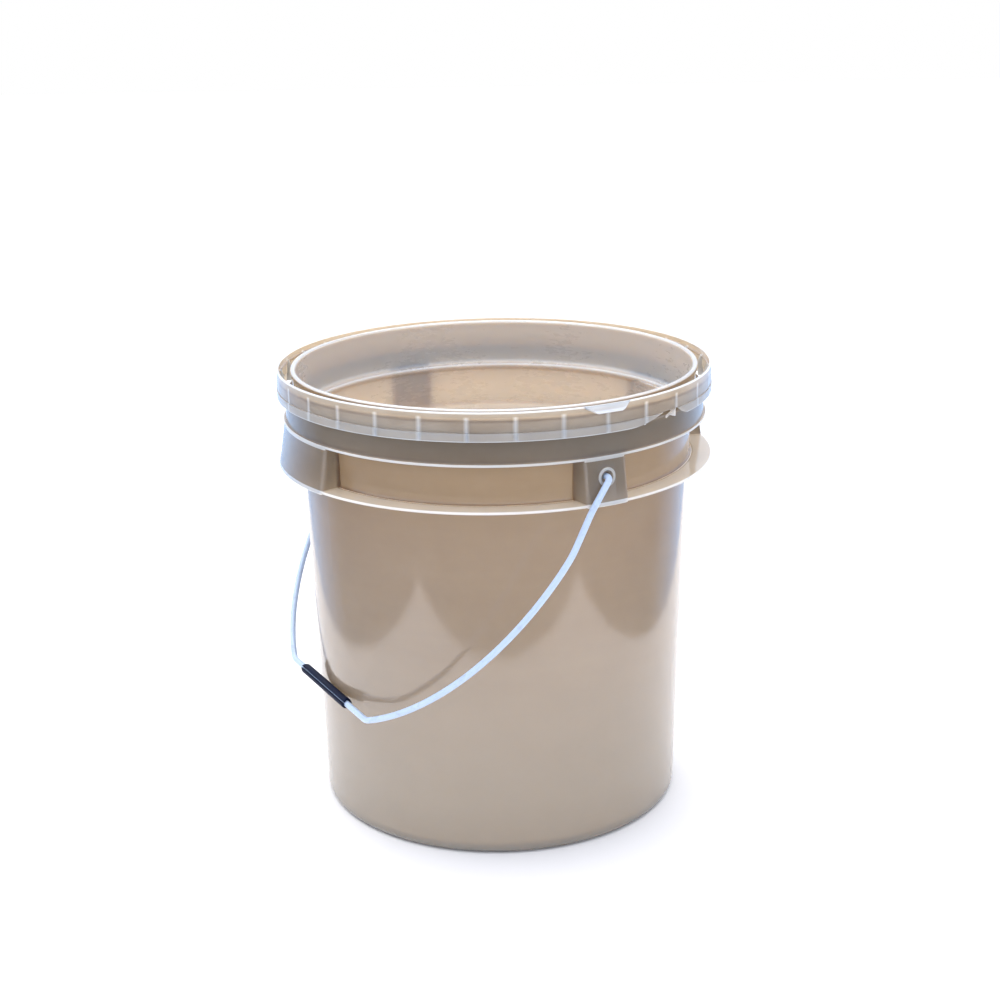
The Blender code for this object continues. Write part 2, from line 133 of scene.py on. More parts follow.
# Bail and grip, in the bail's own plane: distance from its middle, depth below its axis
PIVOT = Vector(frame["joints"][0]["pos_m"])
GRIP_CENTRE = Vector(frame["joints"][1]["pos_m"])
WIRE_RADIUS = 1.5
COATING_RADIUS = 2.35
COATING_BORE = 1.6
HOOK = (155.6, -9.0)
HOOK_BEND = 3.0
COATING_START = 158.6
SHANK = (167.6, 0.0)
SHANK_BEND = 4.0
KNEE = (170.6, 27.0)
SHOULDER = (178.9, 60.0)
SOFT_BEND = 60.0
ARC_RADIUS = 194.0
ARC_CENTRE = (-15.0, 63.5)
GRIP_DEPTH = 238.5
GRIP_BEND = 16.0
GRIP_RADIUS = 4.0
GRIP_BORE = 2.65
GRIP_LENGTH = 82.0
GRIP_SLIT = math.radians(20)
GRIP_SCALLOP = 1.6
GRIP_TURN = math.radians(150)

# Plastics: scattering colours, and how far light runs inside them
# Paler, greyer tan towards the foot is painted light from the bright table; warmer tan above the lower
# flange is painted shade under the flanges and collar.
LIT_FOOT_TAN = (0.235, 0.218, 0.185, 1)
TAN_BODY = (0.165, 0.133, 0.112, 1)
SHADED_NECK_TAN = (0.18, 0.135, 0.097, 1)
TAN_CLOUD = (0.27, 0.235, 0.195, 1)
# The inside is a paler copy of the same plastic, painted light inside the bucket.
LIT_INSIDE = (0.59, 0.515, 0.455, 1)
LIT_INSIDE_CLOUD = (0.63, 0.555, 0.495, 1)
INSIDE_SHADED = (0.46, 0.385, 0.32, 1)
COLLAR_TAN = (0.27, 0.222, 0.185, 1)
COLLAR_CLOUD = (0.36, 0.31, 0.26, 1)
# Dark blotches in the collar, also used as painted shade along the snap bead.
COLLAR_BLOTCH_AND_SHADE = (0.19, 0.138, 0.105, 1)
# The tab's paler tan is painted light on its upward-facing top.
LIT_TAB_TAN = (0.42, 0.38, 0.35, 1)
# Painted highlights on thin edges, rims, ribs, the strip and the flange's upward face; the tab also uses it
# for its cloudy tone.
PALE_HIGHLIGHT_AND_CLOUD = (0.82, 0.80, 0.78, 1)
SPECK = (0.20, 0.14, 0.09, 1)
DEEP_SCATTER = 0.02
SHORT_SCATTER = 0.012

# Sheath, grip, wire and floor
SHEATH = (0.50, 0.61, 0.80, 1)
SHEATH_MARK = (0.34, 0.38, 0.46, 1)
GRIP_BLACK = (0.002, 0.005, 0.022, 1)
GRIP_RUBBED = (0.008, 0.015, 0.045, 1)
ZINC = (0.62, 0.63, 0.65, 1)
ZINC_DULL = (0.40, 0.41, 0.42, 1)
FLOOR_TINT = (0.94, 0.90, 0.86, 1)
FLOOR_CLOUD = (0.96, 0.92, 0.88, 1)

# Studio. The table's edges and the camera's place are in metres from the bucket's axis
ROOM = (0.26, 0.27, 0.29, 1)
BACKDROP = (0.8, 1.1, 1.6, 1)
WALLS = (0.92, 1.0, 1.18, 1)
TABLE = (-0.44, 0.455, -0.475, 1.4)
CAMERA_AZIMUTH = math.radians(-28.1)
CAMERA_DISTANCE = 1.296
CAMERA_HEIGHT = 0.6357
CAMERA_TILT = math.radians(17.277)
CAMERA_PAN = math.radians(0.131)
CAMERA_ROLL = math.radians(-0.948)
CAMERA_LENS = 62.48


def new_object(name, points, faces):
    """A new object from points in millimetres, with its faces turned outwards."""
    mesh = bpy.data.meshes.new(name)
    mesh.from_pydata([Vector(point) * MM for point in points], [], faces)
    shape = bmesh.new()
    shape.from_mesh(mesh)
    bmesh.ops.recalc_face_normals(shape, faces=shape.faces)
    shape.to_mesh(mesh)
    shape.free()
    obj = bpy.data.objects.new(name, mesh)
    bpy.context.scene.collection.objects.link(obj)
    return obj


def shade(obj, angle=32):
    obj.data.shade_smooth()
    obj.data.set_sharp_from_angle(angle=math.radians(angle))
    return obj


def spread(first, last, steps):
    return [first + (last - first) * k / steps for k in range(steps + 1)]


def polar(radius, angle, height):
    return (radius * math.cos(angle), radius * math.sin(angle), height)


def corner_arc(before, corner, after, radius, step=15):
    """Points of the arc that rounds a corner between two straight runs."""
    before, corner, after = Vector(before), Vector(corner), Vector(after)
    arm_in, arm_out = before - corner, after - corner
    half = arm_in.angle(arm_out) / 2
    reach = radius / math.tan(half)
    longest = 0.49 * min(arm_in.length, arm_out.length)
    if reach > longest:
        radius *= longest / reach
        reach = longest
    arm_in.normalize()
    arm_out.normalize()
    middle = corner + (arm_in + arm_out).normalized() * radius / math.sin(half)
    start = corner + arm_in * reach - middle
    end = corner + arm_out * reach - middle
    turn = start.angle(end)
    steps = max(2, math.ceil(math.degrees(turn) / step))
    points = []
    for share in spread(0, 1, steps):
        arm = (math.sin((1 - share) * turn) * start + math.sin(share * turn) * end) / math.sin(turn)
        points.append(tuple(middle + arm))
    return points


def rounded(corners, closed=False, step=15):
    """A plane outline from (x, y, fillet) corners, with each corner rounded by its fillet."""
    points = []
    count = len(corners)
    for k, (x, y, radius) in enumerate(corners):
        at_end = not closed and k in (0, count - 1)
        if at_end or radius == 0:
            points.append((x, y))
            continue
        before = corners[k - 1][:2]
        after = corners[(k + 1) % count][:2]
        points += corner_arc(before, (x, y), after, radius, step)
    return points


def flat_runs(points, margin=0.7):
    """Adds a point near each end of every long straight run, so that its shading stays flat."""
    result = []
    for k, here in enumerate(points[:-1]):
        here, ahead = Vector(here), Vector(points[k + 1])
        run = (ahead - here).length
        result.append(tuple(here))
        if run > 4 * margin:
            result.append(tuple(here.lerp(ahead, margin / run)))
            result.append(tuple(here.lerp(ahead, 1 - margin / run)))
    return [*result, tuple(points[-1])]


def loft(loops, closed):
    """Points and faces of a skin over loops of equal length. An open loft gets end caps."""
    count = len(loops[0])
    points = [point for loop in loops for point in loop]
    faces = []
    for k in range(len(loops) if closed else len(loops) - 1):
        here = k * count
        after = (k + 1) % len(loops) * count
        for j in range(count):
            ahead = (j + 1) % count
            faces.append((here + j, here + ahead, after + ahead, after + j))
    if not closed:
        faces.append(tuple(range(count)))
        faces.append(tuple(range(len(points) - 1, len(points) - 1 - count, -1)))
    return points, faces


def turned(name, outline):
    """A closed (radius, height) outline turned once about Z."""
    loops = [[polar(r, FULL_TURN * k / TURN_STEPS, z) for r, z in outline] for k in range(TURN_STEPS)]
    return new_object(name, *loft(loops, closed=True))


def turned_cup(name, outline):
    """An outline that starts and ends on the axis, turned once about Z."""
    rim = outline[1:-1]
    count = len(rim)
    points = [polar(r, FULL_TURN * k / TURN_STEPS, z) for k in range(TURN_STEPS) for r, z in rim]
    low = len(points)
    points += [(0, 0, outline[0][1]), (0, 0, outline[-1][1])]
    faces = []
    for k in range(TURN_STEPS):
        here = k * count
        after = (k + 1) % TURN_STEPS * count
        faces += [(here + j, here + j + 1, after + j + 1, after + j) for j in range(count - 1)]
        faces.append((low, here, after))
        faces.append((low + 1, after + count - 1, here + count - 1))
    return new_object(name, points, faces)


def combine(target, tools, operation):
    """Applies a Boolean with each tool, and removes the tools."""
    for tool in tools:
        modifier = target.modifiers.new(tool.name, "BOOLEAN")
        modifier.operation = operation
        modifier.solver = "EXACT"
        modifier.object = tool
    bake_modifiers(target)
    for tool in tools:
        bpy.data.objects.remove(tool)


def bake_modifiers(obj):
    graph = bpy.context.evaluated_depsgraph_get()
    mesh = bpy.data.meshes.new_from_object(obj.evaluated_get(graph))
    obj.modifiers.clear()
    obj.data = mesh


def join(name, parts):
    """One object from several, which keep their places."""
    shape = bmesh.new()
    for part in parts:
        shape.from_mesh(part.data)
        bpy.data.objects.remove(part)
    mesh = bpy.data.meshes.new(name)
    shape.to_mesh(mesh)
    shape.free()
    obj = bpy.data.objects.new(name, mesh)
    bpy.context.scene.collection.objects.link(obj)
    return obj


def sector_outline(back, front, half, splay, corner, steps):
    """Plan of a block facing along +X. Its front corners are rounded and its sides spread to the back."""

    def place(radius, angle):
        return polar(radius, angle, 0)[:2]

    reach = corner / front
    root = half + splay * (front - back) / (front - HOUSING_ROOT)
    low, high = place(back, -root), place(back, root)
    first = corner_arc(low, place(front, -half), place(front, 2.2 * reach - half), corner, 20)
    last = corner_arc(place(front, half - 2.2 * reach), place(front, half), high, corner, 20)
    edge = half - 1.2 * reach
    middle = [place(front, angle) for angle in spread(-edge, edge, steps)]
    return [low, *first, *middle, *last, high]


def housing_block(name, place, back, inset, heights, corner):
    """A housing's block or the pocket inside it. Its front leans out towards the foot."""
    centre, half, splay, steps = place
    loops = []
    for height, pull in heights:
        share = (height - HOUSING_BOTTOM) / (HOUSING_TOP - HOUSING_BOTTOM)
        front = FRONT_AT_BOTTOM + share * (FRONT_AT_TOP - FRONT_AT_BOTTOM) - inset - pull
        plan = sector_outline(back, front, half - (inset + pull) / front, splay, corner, steps)
        turn = Matrix.Rotation(centre, 2)
        loops.append([(*(turn @ Vector(point)), height) for point in plan])
    return new_object(name, *loft(loops, closed=False))


def pin_about_bail_axis(name, outline, side, steps=48):
    """A solid from (radius, distance) rings about the bail's axis, at the +X or the -X ear."""
    height = PIVOT.z / MM
    loops = []
    for r, x in outline:
        ring = [FULL_TURN * (k + 0.5) / steps for k in range(steps)]
        loops.append([(side * x, r * math.cos(a), height + r * math.sin(a)) for a in ring])
    return new_object(name, *loft(loops, closed=False))


def build_bucket():
    outline = rounded(FOOT + LOWER_FLANGE + NECK_CAVITY + UPPER_FLANGE + SKIRT + LIP + INNER_WALL)
    bucket = turned_cup("bucket", flat_runs(outline))
    housings = [
        ("ear_right", (0.0, EAR_HALF_ANGLE, EAR_SPLAY, 15)),
        ("ear_left", (math.pi, EAR_HALF_ANGLE, EAR_SPLAY, 15)),
        ("lug_rear", (math.pi / 2 + LUG_TURN, LUG_HALF_ANGLE, 0.0, 37)),
        ("lug_front", (-math.pi / 2 + LUG_TURN, LUG_HALF_ANGLE, 0.0, 37)),
    ]
    block_heights = [(HOUSING_BOTTOM, 0.45), (HOUSING_BOTTOM + 0.45, 0), (HOUSING_TOP, 0)]
    pocket_heights = [(HOUSING_BOTTOM - 3, 0), (POCKET_TOP - 1, 0), (POCKET_TOP, 1.0)]
    blocks = []
    pockets = []
    for name, place in housings:
        block = housing_block(name, place, HOUSING_ROOT, 0, block_heights, HOUSING_CORNER)
        blocks.append(block)
        name = f"{name}_pocket"
        pocket = housing_block(name, place, POCKET_ROOT, HOUSING_WALL, pocket_heights, POCKET_CORNER)
        pockets.append(pocket)
    for side in (1, -1):
        rim = [(BOSS_RADIUS + 0.5, 159), (BOSS_RADIUS + 0.25, BOSS_FACE - 1.0)]
        rim += [(BOSS_RADIUS, BOSS_FACE - 0.4), (BOSS_RADIUS - 0.35, BOSS_FACE)]
        blocks.append(pin_about_bail_axis(f"boss_{side}", rim, side))
        floor = BOSS_FACE - DISH_DEPTH
        bore = [(HOLE_RADIUS, 155), (HOLE_RADIUS, floor - 0.25), (HOLE_RADIUS + 0.25, floor)]
        bore += [(DISH_RADIUS - 0.4, floor + 0.1), (DISH_RADIUS, BOSS_FACE - 0.1)]
        bore += [(DISH_RADIUS + 0.3, BOSS_FACE + 0.2), (DISH_RADIUS + 0.3, BOSS_FACE + 3)]
        pockets.append(pin_about_bail_axis(f"bore_{side}", bore, side))
    combine(bucket, blocks, "UNION")
    combine(bucket, pockets, "DIFFERENCE")
    return shade(bucket)


def build_collar():
    collar = turned("collar_ring", flat_runs(rounded(COLLAR, closed=True, step=22), 0.5))
    ribs = []
    for k in range(RIB_COUNT):
        turn = FULL_TURN * k / RIB_COUNT
        half = RIB_THICKNESS / 2
        loops = [[(r, side * half, z) for r, z in RIB] for side in (-1, 1)]
        rib = new_object(f"rib_{k}", *loft(loops, closed=False))
        rib.data.transform(Matrix.Rotation(turn, 4, "Z"))
        ribs.append(rib)
    combine(collar, [join("ribs", ribs)], "UNION")
    return shade(collar)


def build_strip():
    """The thin strip below the collar, with its tapered ends and the slanted bridge in its gap."""
    last = STRIP_END + FULL_TURN
    loops = []
    for angle in spread(STRIP_START, last, TURN_STEPS):
        near_end = min((last - angle) / END_TAPER, 1)
        near_start = min((angle - STRIP_START) / START_TAPER, 1)
        fullness = math.sin(math.pi / 2 * min(near_end, near_start))
        share = STRIP_THINNEST + (1 - STRIP_THINNEST) * fullness
        bottom = STRIP_TOP - (STRIP_TOP - STRIP_BOTTOM) * share
        section = rounded(
            [
                (STRIP_INSIDE, bottom, 0.2),
                (STRIP_OUTSIDE, bottom, 0.4),
                (STRIP_OUTSIDE, STRIP_TOP, 0.4),
                (STRIP_INSIDE, STRIP_TOP, 0.2),
            ],
            closed=True,
            step=30,
        )
        loops.append([polar(r, angle, z) for r, z in section])
    strip = new_object("strip", *loft(loops, closed=False))
    first, second = BRIDGE
    loops = []
    for angle in spread(first, second, 8):
        share = (angle - first) / (second - first)
        low = STRIP_BOTTOM + BRIDGE_START + share * BRIDGE_RISE
        high = low + BRIDGE_THICKNESS
        outside = STRIP_OUTSIDE - 0.2
        section = [(STRIP_INSIDE, low), (outside, low), (outside, high), (STRIP_INSIDE, high)]
        loops.append([polar(r, angle, z) for r, z in section])
    bridge = new_object("bridge", *loft(loops, closed=False))
    return shade(join("tear_strip_band", [strip, bridge]))


def build_tab():
    """The pull tab: a rounded trapezoid that bends out and down from the collar's top edge."""
    rows = []
    for share in spread(0, 1, 16):
        reach = TAB_ROOT + share * (TAB_TIP - TAB_ROOT)
        rounding = max(0, share - TAB_ROUND_FROM) / (1 - TAB_ROUND_FROM)
        half = TAB_HALF_ROOT + share * (TAB_HALF_TIP - TAB_HALF_ROOT)
        half -= TAB_CORNER * (1 - math.sqrt(1 - rounding**2))
        height = TAB_TOP - TAB_DROP * share**1.3
        row = []
        for y in spread(-half, half, 24):
            bow = math.sqrt(TAB_ROOT**2 - y * y) - TAB_ROOT
            row.append((reach + bow * (1 - 0.6 * share), y, height))
        rows.append(row)
    count = len(rows[0])
    points = [point for row in rows for point in row]
    faces = []
    for k in range(len(rows) - 1):
        for j in range(count - 1):
            here = k * count + j
            faces.append((here, here + 1, here + count + 1, here + count))
    tab = new_object("pull_tab_tongue", points, faces)
    solid = tab.modifiers.new("thickness", "SOLIDIFY")
    solid.thickness = TAB_THICKNESS * MM
    solid.offset = -1 if tab.data.polygons[0].normal.z > 0 else 1
    bevel = tab.modifiers.new("edges", "BEVEL")
    bevel.width = 0.45 * MM
    bevel.segments = 3
    bevel.limit_method = "ANGLE"
    bake_modifiers(tab)
    return shade(tab)


def bail_frame():
    """The bail's plane at rest, as a matrix from (across, 0, height) to the row frame."""
    hang = GRIP_CENTRE - PIVOT
    lean = math.atan2(hang.y, -hang.z)
    return Matrix.Translation(PIVOT) @ Matrix.Rotation(lean, 4, "X")


def half_route(start):
    """One half of the bail, from inside the ear to the grip, as (distance, depth)."""
    across, down = ARC_CENTRE
    drop = GRIP_DEPTH - down
    bend = across + math.sqrt(ARC_RADIUS**2 - drop**2)
    first = math.asin((SHOULDER[1] + 14 - down) / ARC_RADIUS)
    last = math.asin((drop - 4) / ARC_RADIUS)
    turn = spread(first, last, 48)
    arc = [(across + ARC_RADIUS * math.cos(a), down + ARC_RADIUS * math.sin(a)) for a in turn]
    route = list(start)
    route += corner_arc((HOOK[0], 0), SHANK, KNEE, SHANK_BEND, 8)
    route += corner_arc(SHANK, KNEE, SHOULDER, SOFT_BEND, 2)
    route += corner_arc(KNEE, SHOULDER, arc[0], SOFT_BEND, 2)
    route += arc
    route += corner_arc(arc[-1], (bend, GRIP_DEPTH), (0, GRIP_DEPTH), GRIP_BEND, 6)
    return route


def wire_rings(start, radius, sides):
    half = half_route(start)
    route = [Vector((x, 0, -depth)) for x, depth in half]
    route += [Vector((-x, 0, -depth)) for x, depth in reversed(half)]
    across = Vector((0, 1, 0))
    rings = []
    for k, point in enumerate(route):
        along = (route[min(k + 1, len(route) - 1)] - route[max(k - 1, 0)]).normalized()
        up = along.cross(across)
        turn = [FULL_TURN * j / sides for j in range(sides)]
        rings.append([tuple(point + radius * (math.cos(a) * across + math.sin(a) * up)) for a in turn])
    return rings


def build_wire():
    hook = [HOOK, *corner_arc(HOOK, (HOOK[0], 0), SHANK, HOOK_BEND, 10)]
    rings = wire_rings(hook, WIRE_RADIUS, 16)
    wire = new_object("wire_core", *loft(rings, closed=False))
    wire.data.transform(bail_frame())
    return shade(wire)


def build_coating():
    start = [(COATING_START, 0)]
    outer = wire_rings(start, COATING_RADIUS, 24)
    bore = wire_rings(start, COATING_BORE, 24)
    coating = new_object("wire_coating", *loft([*outer, *reversed(bore)], closed=True))
    coating.data.transform(bail_frame())
    return shade(coating)


def build_grip():
    """A slit tube, pressed onto the wire, with scalloped ends."""
    outer = spread(GRIP_SLIT / 2, FULL_TURN - GRIP_SLIT / 2, 44)
    loops = []
    stations = [(-1, 0.0, 0.7), (-1, 0.25, 0.25), (-1, 0.8, 0.0)]
    stations += [(0, share, 0.0) for share in spread(-0.9, 0.9, 20)]
    stations += [(1, 0.8, 0.0), (1, 0.25, 0.25), (1, 0.0, 0.7)]
    for end, offset, inset in stations:
        loop = []
        for radius, angles in ((GRIP_RADIUS - inset, outer), (GRIP_BORE + inset * 0.2, reversed(outer))):
            for a in angles:
                scallop = GRIP_SCALLOP * (0.5 - 0.5 * math.cos(2 * a)) if end else 0
                x = offset * GRIP_LENGTH / 2 if not end else end * (GRIP_LENGTH / 2 - offset - scallop)
                loop.append((x, radius * math.cos(a), radius * math.sin(a)))
        loops.append(loop)
    grip = new_object("grip_tube", *loft(loops, closed=False))
    grip.data.transform(Matrix.Rotation(GRIP_TURN, 4, "X"))
    grip.data.transform(Matrix.Translation(GRIP_CENTRE))
    return shade(grip)


class Nodes:
    """A short way to write a node tree."""

    def __init__(self, tree):
        self.tree = tree

    def add(self, kind, settings=None, **inputs):
        node = self.tree.nodes.new(kind)
        for key, value in (settings or {}).items():
            setattr(node, key, value)
        for key, value in inputs.items():
            self.set(node, key.replace("_", " "), value)
        return node

    def set(self, node, socket, value):
        target = node.inputs[socket]
        if isinstance(value, bpy.types.NodeSocket):
            self.tree.links.new(value, target)
        else:
            target.default_value = value

    def mix(self, share, first, second):
        node = self.add("ShaderNodeMix", {"data_type": "RGBA"})
        for index, value in ((0, share), (6, first), (7, second)):
            self.set(node, index, value)
        return node.outputs[2]

    def math(self, operation, first, second=0.0, third=0.0):
        node = self.add("ShaderNodeMath", {"operation": operation})
        for index, value in enumerate((first, second, third)):
            self.set(node, index, value)
        return node.outputs[0]

    def times(self, first, second):
        return self.math("MULTIPLY", first, second)

    def ramp(self, value, low, high, first=0.0, last=1.0):
        """value from low to high becomes first to last, clamped."""
        node = self.add("ShaderNodeMapRange", {"clamp": True}, Value=value)
        limits = {"From Min": low, "From Max": high, "To Min": first, "To Max": last}
        for socket, number in limits.items():
            self.set(node, socket, number)
        return node.outputs["Result"]

    def noise(self, vector, scale, detail=3.0, roughness=0.5):
        node = self.add(
            "ShaderNodeTexNoise", Vector=vector, Scale=scale, Detail=detail, Roughness=roughness
        )
        return node.outputs["Fac"]


def new_material(name):
    material = bpy.data.materials.new(name)
    material.use_nodes = True
    shader = material.node_tree.nodes["Principled BSDF"]
    return material, Nodes(material.node_tree), shader


def stretched(nodes, scale):
    """Object coordinates stretched by a scale on each axis."""
    where = nodes.add("ShaderNodeTexCoord").outputs["Object"]
    node = nodes.add("ShaderNodeMapping", Vector=where, Scale=scale)
    return node.outputs["Vector"]


def round_the_axis(nodes):
    """Distance from the bucket's axis, angle about it and height, in metres and radians."""
    where = nodes.add("ShaderNodeTexCoord").outputs["Object"]
    parts = nodes.add("ShaderNodeSeparateXYZ", Vector=where).outputs
    across = hypotenuse(nodes, parts["X"], parts["Y"])
    return across, nodes.math("ARCTAN2", parts["Y"], parts["X"]), parts["Z"]


def hypotenuse(nodes, first, second):
    """Length of the long side of a right-angled triangle."""
    squares = [nodes.times(side, side) for side in (first, second)]
    return nodes.math("SQRT", nodes.math("ADD", *squares))


def band(nodes, value, low, high, soft):
    """1 between two limits, given in mm, and 0 outside them."""
    rise = nodes.ramp(value, (low - soft) * MM, low * MM)
    fall = nodes.ramp(value, high * MM, (high + soft) * MM, 1.0, 0.0)
    return nodes.times(rise, fall)


def pail_accents(nodes):
    """Tints by height, paler towards the foot as painted light and warmer above the lower flange as painted
    shade, then painted light on the flange's upward face and painted highlights on the boss rims and the
    thin edges, which pass more light.
    """
    radius, _, height = round_the_axis(nodes)
    lip = band(nodes, height, 343.9, 360, 0.9)
    low_flange = band(nodes, height, 270, 275.4, 0.3)
    lower = nodes.times(band(nodes, radius, 165.8, 170, 0.7), low_flange)
    deck = band(nodes, height, 274.4, 275.4, 0.3)
    deck = nodes.times(band(nodes, radius, 152.5, 170, 1.5), deck)
    upper = band(nodes, height, 305, 307.7, 0.3)
    upper = nodes.times(band(nodes, radius, 161.1, 170, 0.5), upper)
    shoulder = band(nodes, height, 307.6, 309.9, 0.7)
    shoulder = nodes.times(band(nodes, radius, 140, 145.7, 0.8), shoulder)
    edges = nodes.math("MAXIMUM", nodes.math("MAXIMUM", lip, lower), nodes.math("MAXIMUM", upper, shoulder))
    # Painted light towards the foot and painted shade above the lower flange, as tints by height.
    foot = nodes.ramp(height, 40 * MM, 240 * MM, 1.0, 0.0)
    neck = nodes.ramp(height, 268 * MM, 277 * MM)
    return [
        (foot, LIT_FOOT_TAN),
        (neck, SHADED_NECK_TAN),
        # Painted light on the lower flange's upward face, then painted highlights on the boss rims and thin
        # edges.
        (nodes.times(deck, 0.3), PALE_HIGHLIGHT_AND_CLOUD),
        (nodes.times(boss_rings(nodes), 0.5), PALE_HIGHLIGHT_AND_CLOUD),
        (nodes.times(edges, 0.65), PALE_HIGHLIGHT_AND_CLOUD),
    ]


def boss_rings(nodes):
    """The raised rim round each hole for the bail, which is thin and gets a painted highlight."""
    where = nodes.add("ShaderNodeTexCoord").outputs["Object"]
    parts = nodes.add("ShaderNodeSeparateXYZ", Vector=where).outputs
    rise = nodes.math("SUBTRACT", parts["Z"], PIVOT.z)
    rim = band(nodes, hypotenuse(nodes, parts["Y"], rise), DISH_RADIUS, BOSS_RADIUS, 0.4)
    return nodes.times(rim, band(nodes, nodes.math("ABSOLUTE", parts["X"]), 163.5, 170, 0.3))


def lining_accents(nodes):
    """Painted highlights on the thin edges, and painted shade in duller panels where the housings stand
    behind the thin wall.
    """
    _, angle, height = round_the_axis(nodes)
    panels = None
    for centre, half in ((0, EAR_HALF_ANGLE), (math.pi / 2 + LUG_TURN, LUG_HALF_ANGLE)):
        turned_back = nodes.math("SUBTRACT", angle, centre)
        away = nodes.math("ABSOLUTE", nodes.math("SINE", turned_back))
        panel = nodes.ramp(away, math.sin(half), math.sin(half) + 0.012, 1.0, 0.0)
        panels = nodes.math("MAXIMUM", panels, panel) if panels else panel
    # Painted shade where the housings behind the wall keep light from passing through.
    shaded = nodes.times(panels, band(nodes, height, 273, 304.5, 1.5))
    return [(nodes.times(shaded, 0.45), INSIDE_SHADED), pail_accents(nodes)[-1]]


def collar_accents(nodes):
    """Cloudy blotches, then the ribs and the snap bead behind the thin wall, which show as painted
    highlight streaks and a painted shade line, and painted highlights on the strip and the thin edges.
    """
    _, angle, height = round_the_axis(nodes)
    turn = nodes.math("MULTIPLY_ADD", angle, RIB_COUNT / FULL_TURN, RIB_COUNT + 0.5)
    turn = nodes.math("FRACT", turn)
    away = nodes.math("ABSOLUTE", nodes.math("SUBTRACT", turn, 0.5))
    streak = nodes.times(nodes.ramp(away, 0.0, 0.075, 1.0, 0.0), band(nodes, height, 324, 341, 1.5))
    blotch = nodes.noise(stretched(nodes, (28, 28, 70)), 1.0, 3, 0.5)
    bead = band(nodes, height, 338.3, 339.3, 0.6)
    top_edge = band(nodes, height, 344.6, 360, 0.5)
    edges = nodes.math("MAXIMUM", top_edge, band(nodes, height, 320, 324.9, 0.5))
    strip = band(nodes, height, 324, 330.2, 0.7)
    return [
        (nodes.ramp(blotch, 0.42, 0.68, 0.0, 0.65), COLLAR_BLOTCH_AND_SHADE),
        # Painted shade along the snap bead, then painted highlights on the strip, the ribs and the thin
        # edges.
        (nodes.times(bead, 0.5), COLLAR_BLOTCH_AND_SHADE),
        (nodes.times(strip, 0.22), PALE_HIGHLIGHT_AND_CLOUD),
        (nodes.times(streak, 0.55), PALE_HIGHLIGHT_AND_CLOUD),
        (nodes.times(edges, 0.7), PALE_HIGHLIGHT_AND_CLOUD),
    ]


def tab_accents(nodes):
    """A painted highlight along the thin outer edge of the tab."""
    radius, _, _ = round_the_axis(nodes)
    return [(nodes.times(band(nodes, radius, 169.0, 180, 0.8), 0.7), PALE_HIGHLIGHT_AND_CLOUD)]


def moulded_plastic(name, tint, cloud, depth, roughness, accents):
    """Cloudy, glossy polypropylene: flow marks, faint scuffs and a slight orange peel."""
    material, nodes, shader = new_material(name)
    where = stretched(nodes, (1, 1, 1))
    clouds = nodes.noise(where, 9, 4, 0.55)
    flow = nodes.noise(stretched(nodes, (5, 5, 26)), 1.0, 5, 0.6)
    specks = nodes.noise(where, 900, 1, 0.5)
    colour = tint
    for mask, accent in accents(nodes):
        colour = nodes.mix(mask, colour, accent)
    colour = nodes.mix(nodes.ramp(clouds, 0.3, 0.7, 0.0, 0.25), colour, cloud)
    colour = nodes.mix(nodes.ramp(flow, 0.35, 0.7, 0.0, 0.16), colour, cloud)
    colour = nodes.mix(nodes.ramp(specks, 0.68, 0.8, 0.0, 0.10), colour, SPECK)
    nodes.set(shader, "Base Color", colour)
    scuffs = nodes.noise(stretched(nodes, (60, 60, 220)), 1.0, 6, 0.72)
    smooth = nodes.ramp(clouds, 0.3, 0.7, roughness, roughness + 0.05)
    nodes.set(shader, "Roughness", nodes.math("ADD", smooth, nodes.ramp(scuffs, 0.3, 0.9, 0, 0.05)))
    peel = nodes.noise(where, 260, 2, 0.5)
    waves = nodes.noise(where, 22, 2, 0.4)
    height = nodes.math("ADD", nodes.times(peel, 0.10), waves)
    bump = nodes.add("ShaderNodeBump", Height=height, Strength=0.2, Distance=0.0009)
    nodes.set(shader, "Normal", bump.outputs["Normal"])
    shader.inputs["IOR"].default_value = 1.5
    shader.inputs["Specular IOR Level"].default_value = 1.0
    shader.inputs["Subsurface Weight"].default_value = 1.0
    shader.inputs["Subsurface Radius"].default_value = (1.0, 0.8, 0.6)
    shader.inputs["Subsurface Scale"].default_value = depth
    return material


def line_inside(bucket, material):
    """Gives the faces that look in at the bucket's axis, and its floor, a material of their own: a paler
    copy of the plastic, painted light for the light that falls inside the bucket.
    """
    bucket.data.materials.append(material)
    for face in bucket.data.polygons:
        centre = face.center / MM
        reach = math.hypot(centre.x, centre.y)
        inwards = -(face.normal.x * centre.x + face.normal.y * centre.y) / max(reach, 1)
        if reach < 151 and (inwards > 0.2 or face.normal.z > 0.9) and centre.z > 5:
            face.material_index = 1


def coating_plastic():
    """Pale bluish sheath with faint draw lines and a few grey marks."""
    material, nodes, shader = new_material("wire_sheath")
    where = stretched(nodes, (1, 1, 1))
    marks = nodes.noise(where, 140, 5, 0.65)
    colour = nodes.mix(nodes.ramp(marks, 0.56, 0.74, 0, 0.55), SHEATH, SHEATH_MARK)
    nodes.set(shader, "Base Color", colour)
    nodes.set(shader, "Roughness", nodes.ramp(marks, 0.35, 0.7, 0.24, 0.46))
    lines = nodes.noise(stretched(nodes, (90, 1400, 1400)), 1.0, 2, 0.5)
    bump = nodes.add("ShaderNodeBump", Height=lines, Strength=0.12, Distance=0.0004)
    nodes.set(shader, "Normal", bump.outputs["Normal"])
    shader.inputs["Subsurface Weight"].default_value = 0.35
    shader.inputs["Subsurface Radius"].default_value = (1.0, 1.0, 1.1)
    shader.inputs["Subsurface Scale"].default_value = 0.0015
    return material


